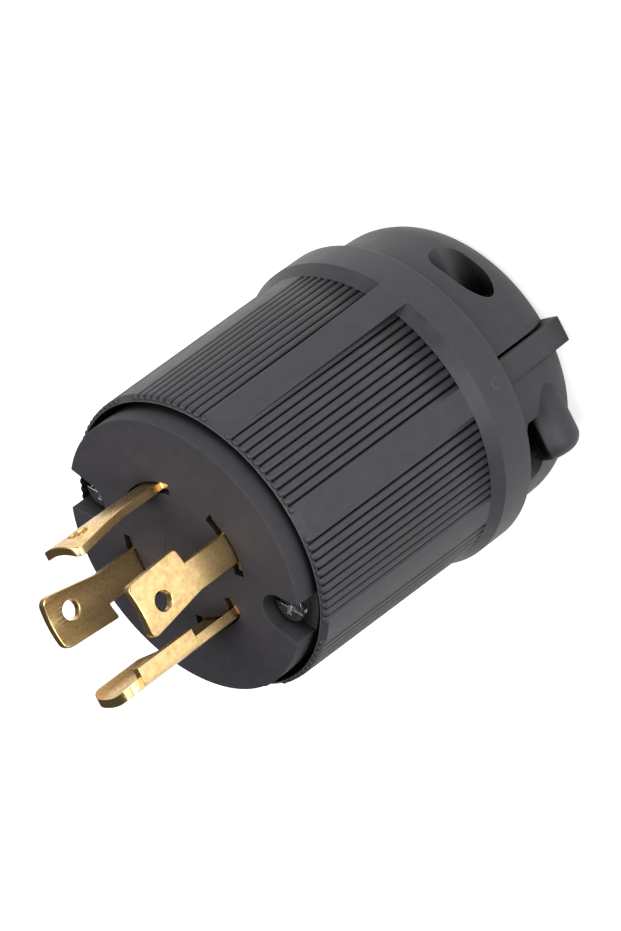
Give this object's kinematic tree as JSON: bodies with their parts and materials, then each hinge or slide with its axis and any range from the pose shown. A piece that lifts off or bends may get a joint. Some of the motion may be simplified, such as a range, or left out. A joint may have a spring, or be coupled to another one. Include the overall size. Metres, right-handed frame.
{
  "type": "locking power plug",
  "caption": "Round black locking power plug with curved brass blades, a ribbed grip, a flange and a two-part cord clamp at its rear end.",
  "frame": {"origin": "centre of the flat cord end, on which the plug stands", "axes": "+Z along the plug's axis from the cord end towards the blades, +X towards one line blade, the grounding blade lies on the -Y side"},
  "size_m": [0.0562, 0.0562, 0.0953],
  "materials": {
    "black_nylon": "moulded black nylon with a fine grain",
    "carrier_nylon": "moulded black nylon, matt",
    "brass": "stamped brass, lightly worn",
    "steel": "zinc-plated steel"
  },
  "bodies": {
    "root": {"housing": "black_nylon", "cord_clamp": "black_nylon", "blade_carrier": "carrier_nylon", "terminal_barrier": "carrier_nylon", "line_blade_x": "brass", "neutral_blade": "brass", "line_blade_y": "brass", "ground_blade": "brass", "terminal_plate_x": "steel", "terminal_plate_neutral": "steel", "terminal_plate_y": "steel", "terminal_plate_ground": "steel", "terminal_screw_x": "steel", "terminal_screw_neutral": "steel", "terminal_screw_y": "steel", "terminal_screw_ground": "steel", "face_screw_a": "steel", "face_screw_b": "steel", "housing_insert_a": "brass", "housing_insert_b": "brass", "clamp_screw_a": "steel", "clamp_screw_b": "steel", "clamp_nut_a": "steel", "clamp_nut_b": "steel"}
  },
  "joints": []
}
